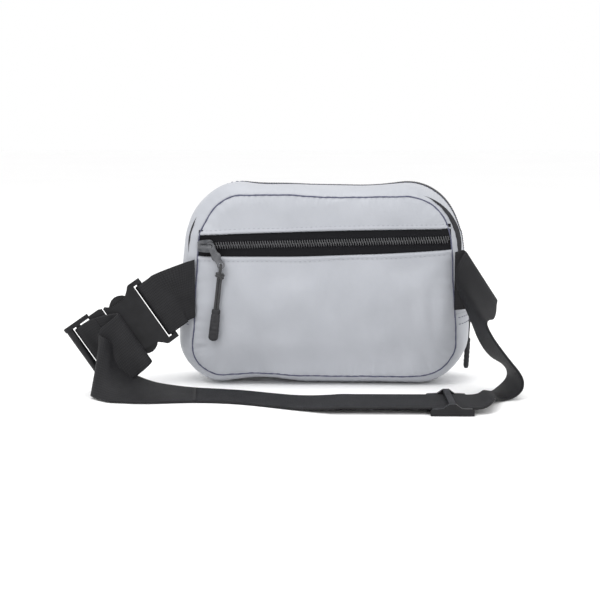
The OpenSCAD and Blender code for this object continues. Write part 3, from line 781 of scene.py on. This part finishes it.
# ---- main zip round the top of the side wall
def main_zip():
    for name, v0, v1, node in (("main_tape_a", ZIP_Y - HALF_VIS - 2, ZIP_Y - 0.4, "main_tape_near"),
                               ("main_tape_b", ZIP_Y + 0.4, ZIP_Y + HALF_VIS + 2, "main_tape_far")):
        idx = np.arange(first, last + 1)
        thicken(gusset_strip(name, idx, np.linspace(v0, v1, 8), TAPE, [node], sink=1.05), 0.5)
    i = np.arange(first, last + 1)
    p = gusset(i, np.full(len(i), ZIP_Y))
    out = np.stack([NRM[i][:, 0], np.zeros(len(i)), NRM[i][:, 1]], 1)
    out = unit(out)
    p = p - out * 0.35
    across = np.tile([0.0, 1, 0], (len(i), 1))
    v, f = coil_along(p, out, across)
    make("main_teeth", v, f, COIL, "bag", replaces=["main_coil"])
    v, f = tube(p - out * 0.15, 0.6, 8)
    make("main_teeth_cord", v, f, BLACK, "bag")
    for nm, v in (("zip_stitch_near", ZIP_Y - HALF_VIS - 1.8), ("zip_stitch_far", ZIP_Y + HALF_VIS + 1.8)):
        q = gusset(i, np.full(len(i), v))
        stitches(nm, q, SEAM, "bag", 2.0, 1.4, 0.26, 0.05, out)


main_zip()


def join_rows():
    """two rows of stitches across the side wall where the upper strips meet the lower one"""
    for tag, i0, step in (("right", last, 1), ("left", first, -1)):
        for k, off in enumerate((2, 5)):
            i = (i0 + step * off) % N_OUT
            vs = np.linspace(SEAM_Y + 1.5, FAR_Y - 1.5, 60)
            q = gusset(np.full(60, i), vs)
            nrm = np.tile([NRM[i][0], 0, NRM[i][1]], (60, 1))
            stitches(f"join_stitch_{tag}_{k}", q, SEAM, "bag", 2.0, 1.4, 0.26, 0.05, nrm)


join_rows()

# pocket lining stays as CAD
nodes["pocket_lining"].data.materials.clear()
nodes["pocket_lining"].data.materials.append(LINING)

# ---------------------------------------------------------------- webbing
BUCKLE = np.array([-109.5, -31, 52.3])
YAW, PITCH, ROLL = (math.radians(a) for a in (195.5, 33.5, -81))


def placed(p):
    m = Matrix.Rotation(YAW, 3, "Z") @ Matrix.Rotation(PITCH, 3, "Y") @ Matrix.Rotation(ROLL, 3, "X")
    return BUCKLE + np.array(m @ Vector(p))


W = 38.0
T = 1.5


def stations(rows):
    out = []
    for r in rows:
        a, b = np.array(r[:3], float), np.array(r[3:], float)
        c, w = (a + b) / 2, unit(b - a) * W / 2
        out.append(np.concatenate([c - w, c + w]))
    return out


def across(x, y, z):
    return np.concatenate([placed((x, y + W / 2, z)), placed((x, y - W / 2, z))])


def spline(rows, k):
    p = np.array(rows)
    n = len(p) - 1
    out = []
    for i in range(n):
        a, b, c, d = p[max(0, i - 1)], p[i], p[i + 1], p[min(n, i + 2)]
        for j in range(k):
            t = j / k
            out.append(0.5 * (2 * b + (c - a) * t + (2 * a - 5 * b + 4 * c - d) * t * t
                              + (3 * b - a - 3 * c + d) * t ** 3))
    out.append(p[-1])
    return np.array(out)


def ribbon(name, route, i0, i1, node, body, u0=0.0):
    """webbing between two points of a smoothed route, with rounded woven edges"""
    mid = (route[:, :3] + route[:, 3:]) / 2
    up = unit(np.cross(np.gradient(mid, axis=0), route[:, 3:] - route[:, :3]))[i0:i1 + 1]
    a, b, mid = route[i0:i1 + 1, :3], route[i0:i1 + 1, 3:], mid[i0:i1 + 1]
    length = np.concatenate([[0], np.cumsum(np.linalg.norm(np.diff(mid, axis=0), axis=1))])
    xs = np.concatenate([[-0.988, -0.96], np.linspace(-0.9, 0.9, 13), [0.96, 0.988]])
    th = np.where(np.abs(xs) > 0.97, 0.72, np.where(np.abs(xs) > 0.94, 0.97, 1.0))
    prof = [(-1, 0.0)] + list(zip(xs, th)) + [(1, 0.0)] + list(zip(xs[::-1], -th[::-1]))
    verts, uv = [], []
    for i in range(len(mid)):
        for x, q in prof:
            t = (x + 1) / 2
            verts.append(a[i] * (1 - t) + b[i] * t + up[i] * (q * T / 2))
            uv.append((u0 + length[i], x * W / 2 + (100 if q < 0 else 0)))
    m, n = len(prof), len(mid)
    faces = grid_faces(n, m, False, True)
    faces += [tuple(range(m)), tuple((n - 1) * m + j for j in range(m))[::-1]]
    return make(name, verts, faces, WEB, body, uv=uv, replaces=[node]), length[-1]


BUCKLE_T, BAR_R, INNER_BAR_R = 8.4, 1.8, 1.6
BAR_GAP, DECK, PLY = 0.3, (BUCKLE_T + T) / 2, T / 2 + 0.45
SEAM_STRAP = SEAM_Y - 1 - T / 2
wrap = BAR_R + BAR_GAP + T / 2
wq = wrap * 0.71
short_rows = stations([(-84.5, SEAM_STRAP, 46, -84.5, SEAM_STRAP, 84), (-90, -28.8, 43.5, -93, -28.6, 81.5)]) + [
    across(-12, 0, PLY), across(-6, 0, PLY + 1), across(-2, 0, wrap), across(0, 0, wrap), across(wq, 0, wq),
    across(wrap, 0, 0), across(wq, 0, -wq), across(0, 0, -wrap), across(-5, 0, -PLY - 1.4), across(-11, 0, -PLY)]


def over(x, y, z):
    return across(x, y, DECK + z)


wrap_in = INNER_BAR_R + BAR_GAP + T / 2
wi = wrap_in * 0.71
IB = 47.6
belt_rows = [across(IB + x, 0, z) for x, z in ((-5, -3), (-2.5, -wrap_in), (0, -wrap_in), (wi, -wi), (wrap_in, 0),
                                              (wi, wi), (0, wrap_in))] + [
    over(43.5, 0, -1.6), over(40, 0, 1), over(36, 1, 2.6)]
BIGHT_END = len(belt_rows) - 1
belt_rows += [over(30, 3, 4), over(25.5, 5, 5), over(23, 6.5, 7), over(23, 7, 9.4), over(25.5, 7.5, 11.4),
              over(30, 8, 12)] + stations([
    (-121, -55, 11, -142, -55, 43),
    (-131, -57.5, 4, -143, -56, 40),
    (-139.5, -60, 2, -143.5, -57, 39.5),
    (-145, -62.5, 1.5, -142, -58.5, 39),
    (-147, -66, 1.2, -140.5, -61, 38.5),
    (-145, -70, 1.2, -138.5, -62, 38),
    (-140, -75, 1.6, -135.5, -57, 33.4),
    (-134, -79.9, 1.3, -133.5, -51.6, 25.4),
    (-125.9, -81.6, 1.1, -127.6, -47.9, 17.7),
    (-116.4, -83.4, 1.3, -122.1, -47.7, 11.7),
    (-104.5, -82.9, 1.1, -110.5, -45.9, 6.5),
    (-92, -80.6, 1, -97, -43.4, 3.4),
    (-80, -79.6, 0.9, -83, -41.8, 1.6)])
BEND_END = len(belt_rows) - 1
TRI_Y, TRI_Z, TRAVEL_END = -90, 3.9, 10


def level(x, z):
    return (x, TRI_Y - 1, z, x, TRI_Y + 1, z)


belt_rows += stations([
    (-66, -80.5, 0.9, -68, -42.6, 1),
    (-50, -84.5, 0.9, -52, -46.5, 0.9),
    (-34, -91.5, 0.9, -36, -53.5, 0.9),
    (-18, -99.5, 1.2, -19, -61.5, 1.2),
    (-6, -105, 2.2, -6.5, -67, 2.2),
    level(TRAVEL_END - 6, 3.5), level(TRAVEL_END, TRI_Z), level(TRAVEL_END + 12, TRI_Z),
    level(50, TRI_Z), level(80, TRI_Z), level(91, TRI_Z),
    (96, -108, 4.6, 96, -70, 4.6),
    (100, -104, 6.2, 99.5, -66, 5.6),
    (102.5, -98, 7.4, 103, -60.5, 4.2),
    (104, -90, 7, 105.5, -53, 2.4),
    (105.5, -82, 5, 108, -45.5, 1.2),
    (109, -74.5, 2.6, 111, -38.5, 1.2),
    (114, -69, 1.3, 114.5, -34, 2.4),
    (119.5, -68, 2.8, 118, -31.5, 5.4),
    (123.5, -69, 7, 119.5, -31, 9.4),
    (124, -70.5, 12.5, 118.5, -31, 13.8),
    (121.5, -71.5, 18, 115, -31.3, 17.6),
    (116.5, -72, 24.5, 108.5, -32, 21.5),
    (110.5, -71.5, 32, 103.5, -32.5, 27),
    (104.5, -70, 40, 99.5, -33, 34.5),
    (100.5, -67, 47, 96, -34, 44),
    (100, -61.5, 51, 92, -36, 55),
    (102.5, -54, 53.5, 88.5, -38, 66),
    (106, -46, 56, 88, -38, 76),
    (108.5, -40, 58.5, 89.5, -36.5, 84),
    (109.5, -36.5, 60, 91.5, -34.5, 87),
    (109.3, -33.8, 60.5, 92, -32.4, 87.5),
    (106, -32, 60, 91, -31, 88),
    (99, -30.5, 56.5, 89, -30, 88.5),
    (91, -29.2, 52.6, 86, -29, 89.1),
    (84.5, SEAM_STRAP, 51.2, 84.5, SEAM_STRAP, 89.2)])
K = 6
short_route, belt_route = spline(short_rows, K), spline(belt_rows, K)
short_strap, short_len = ribbon("strap_short", short_route, 0, len(short_route) - 1, "short_strap", "bag")
bight, bight_len = ribbon("strap_at_plug", belt_route, 0, K * BIGHT_END, "strap_bight", "plug")
bend, bend_len = ribbon("strap_turn", belt_route, K * BIGHT_END, K * BEND_END, "strap_bend", None, bight_len)
run, run_len = ribbon("strap_long", belt_route, K * BEND_END, len(belt_route) - 1, "strap_run", "bag",
                      bight_len + bend_len)
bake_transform(bend)


split_outline(False)[0]
split_outline(True)[0]


# ---------------------------------------------------------------- hard parts keep their CAD shape
def finish_cad(names, mat, bevel, segments=3):
    for n in names:
        ob = nodes[n]
        ob.data.materials.clear()
        ob.data.materials.append(mat)
        m = ob.modifiers.new("soft_edges", "BEVEL")
        m.width = bevel * MM
        m.segments = segments
        m.limit_method = "ANGLE"
        m.angle_limit = math.radians(35)
        m.harden_normals = True


finish_cad(["pocket_slider", "main_slider"], METAL, 0.35)
finish_cad(["pocket_bail", "main_bail"], METAL, 0.25)
finish_cad(["pocket_tab", "main_tab"], METAL, 0.3)
finish_cad(["socket", "plug", "prong_upper", "prong_lower", "triglide"], PLASTIC, 0.5)


# ---------------------------------------------------------------- pullers: cord loop, knot and grip
def puller(kind, joint):
    spec = next(j for j in frame["joints"] if j["name"] == joint)
    eye = np.array(spec["pos_m"], float) / MM
    g_lo, g_hi = lo_hi(kind + "_grip")
    d = (g_lo + g_hi) / 2 - eye
    far = np.linalg.norm(d)
    d = d / far
    n = np.array(spec["axis"], float)
    n = unit(n - d * (n @ d))
    w = np.cross(n, d)
    start = far - 10.5
    body = kind + "_puller"

    def at(x, y, z):
        return eye + d * x + w * y + n * z

    half = [(start + 2, 0.88, 0), (start - 1, 0.88, 0), (start * 0.8, 0.87, 0.05), (13, 0.86, 0.02),
            (10, 0.84, 0), (7.6, 0.68, 0.4), (5.8, 0.4, 1.15), (4.2, 0.15, 1.85), (2.6, 0.02, 2.12),
            (1.1, 0, 1.75), (0.15, 0, 0.85)]
    pts = half + [(-0.05, 0, 0)] + [(x, -y, -z) for x, y, z in half[::-1]]
    p = np.array([at(*q) for q in pts])
    fine, length = resample(spline(p, 8), 0.22)
    m = len(fine)
    r = np.full(m, 0.88)
    v, f = tube(fine, r, 12, up=n)
    ring = np.tile(np.arange(12), m)
    row = np.repeat(np.arange(m), 12)
    bump = 0.055 * np.cos(2.2 * row + ring * np.pi / 1.5) * np.cos(2.2 * row - ring * np.pi / 1.5)
    v = v + unit(v - fine[row]) * bump[:, None]
    cord = make(kind + "_loop", v, f, CORD, body, replaces=[kind + "_cord"])
    # the knot: two and a half turns of the same cord, pulled tight
    t = np.linspace(0, 1, 90)
    a = t * 2 * np.pi * 2.4
    rad = 1.75 + 0.45 * np.sin(np.pi * t)
    k = np.stack([at(5.1 + 3.3 * q + 0.35 * np.sin(x + 0.6), r1 * np.cos(x) * 1.05, r1 * np.sin(x) * 0.9)
                  for q, x, r1 in zip(t, a, rad)])
    v, f = tube(k, 0.88 * np.sqrt(np.clip(1 - (2 * t - 1) ** 12, 0.2, 1)), 10, up=n)
    core_v, core_f = tube(np.array([at(x, 0, 0) for x in np.linspace(5, 8.6, 8)]),
                          np.array([0.9, 1.7, 2.0, 2.1, 2.1, 2.0, 1.7, 0.9]), 14, up=n)
    v, f = join([(v, f), (core_v, core_f)])
    make(kind + "_tied_knot", v, f, CORD, body, replaces=[kind + "_knot"])
    # the moulded grip: flat, with a collar, shallow ribs and a rounded end
    xs = np.concatenate([[0, 0.15, 0.5, 1.0, 1.8, 2.6, 2.9, 3.3, 3.7], np.linspace(4.4, 18.6, 44),
                         [19.2, 19.8, 20.3, 20.7, 20.93, 21.0]])
    verts = []
    for x in xs:
        end = max(0.0, (x - 18.2) / 2.8)
        head = min(1.0, x / 0.8)
        k_end = math.sqrt(max(0.0, 1 - end ** 2.4)) if x > 18.2 else 1.0
        k_head = 0.72 + 0.28 * math.sqrt(max(0.0, 1 - (1 - head) ** 2))
        neck = 1 - 0.13 * math.exp(-((x - 3.1) / 0.42) ** 2)
        hw = (2.75 + 0.42 * min(1, x / 14)) * k_end * k_head * neck
        ht = (1.75 + 0.1 * math.sin(x * 2.1) * (5.5 < x < 17.5)) * (0.25 + 0.75 * k_end) * k_head * neck
        for j in range(28):
            c, sn = math.cos(j * 2 * math.pi / 28), math.sin(j * 2 * math.pi / 28)
            verts.append(at(start + x, hw * abs(c) ** 0.72 * math.copysign(1, c),
                            ht * abs(sn) ** 0.72 * math.copysign(1, sn)))
    rows = len(xs)
    faces = grid_faces(rows, 28, False, True)
    faces += [tuple(range(28))[::-1], tuple((rows - 1) * 28 + j for j in range(28))]
    make(kind + "_pull_grip", verts, faces, RUBBER, body, replaces=[kind + "_grip"])


puller("pocket", "pocket_puller_swing")
puller("main", "main_puller_swing")


# ---------------------------------------------------------------- floor
def floor():
    me = bpy.data.meshes.new("floor")
    s = 6.0
    me.from_pydata([(-s, -s, 0), (s, -s, 0), (s, s, 0), (-s, s, 0)], [], [(0, 1, 2, 3)])
    me.materials.append(floor_material())
    ob = bpy.data.objects.new("floor", me)
    bpy.context.scene.collection.objects.link(ob)


floor()
